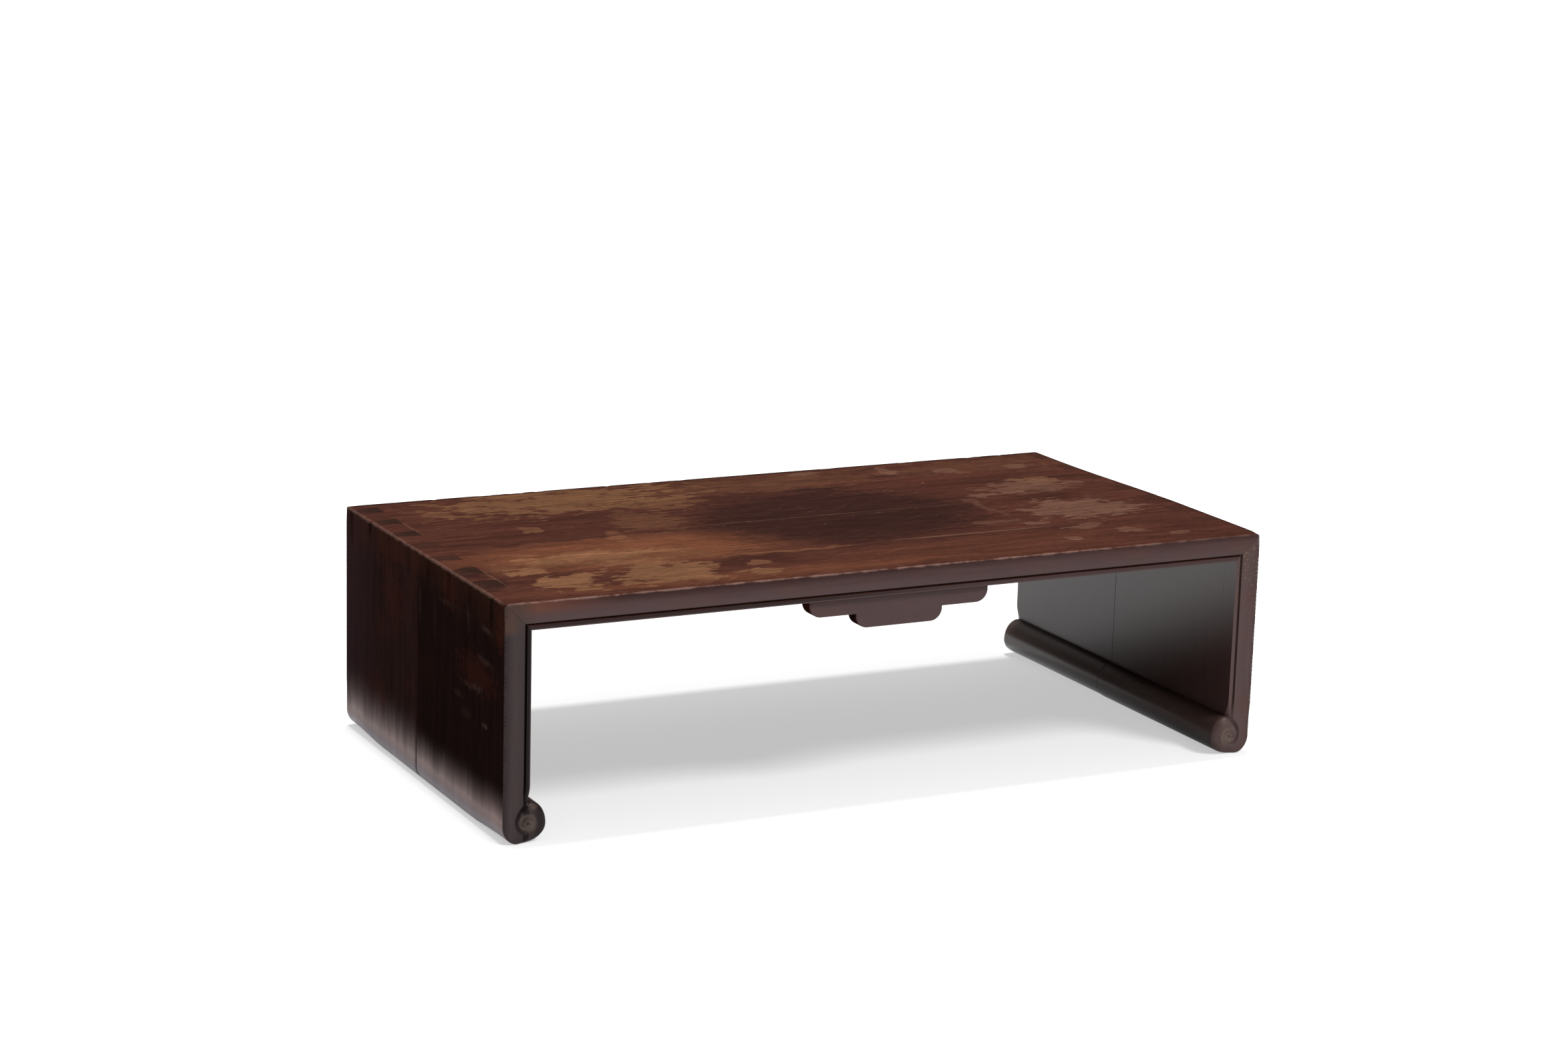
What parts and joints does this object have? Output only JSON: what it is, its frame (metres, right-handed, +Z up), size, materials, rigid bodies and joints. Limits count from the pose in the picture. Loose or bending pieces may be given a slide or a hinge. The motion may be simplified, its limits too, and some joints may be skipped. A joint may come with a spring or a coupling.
{
  "type": "display stand",
  "caption": "Low scroll-foot display stand of dark hardwood: a plank top dovetailed to plank sides that roll inward into scroll feet, with a small stepped pendant under the edge.",
  "frame": {"origin": "middle of the footprint, on the surface that the stand rests on", "axes": "+X along the stand, +Y to its back (the front faces -Y), +Z up"},
  "size_m": [0.4, 0.208, 0.112],
  "materials": {
    "top_hardwood": "waxed, worn",
    "side_hardwood": "waxed, polished by handling",
    "bamboo": "bare"
  },
  "bodies": {
    "root": {"top_front_board": "top_hardwood", "top_rear_board": "top_hardwood", "left_front_board": "side_hardwood", "left_rear_board": "side_hardwood", "right_front_board": "side_hardwood", "right_rear_board": "side_hardwood", "front_pendant": "side_hardwood", "rear_pendant": "side_hardwood", "top_seam_pin_1": "bamboo", "top_seam_pin_2": "bamboo", "top_seam_pin_3": "bamboo", "top_seam_pin_4": "bamboo", "top_seam_pin_5": "bamboo", "left_seam_pin_1": "bamboo", "left_seam_pin_2": "bamboo", "right_seam_pin_1": "bamboo", "right_seam_pin_2": "bamboo", "front_peg_left": "bamboo", "front_peg_right": "bamboo", "rear_peg_left": "bamboo", "rear_peg_right": "bamboo"}
  },
  "joints": []
}
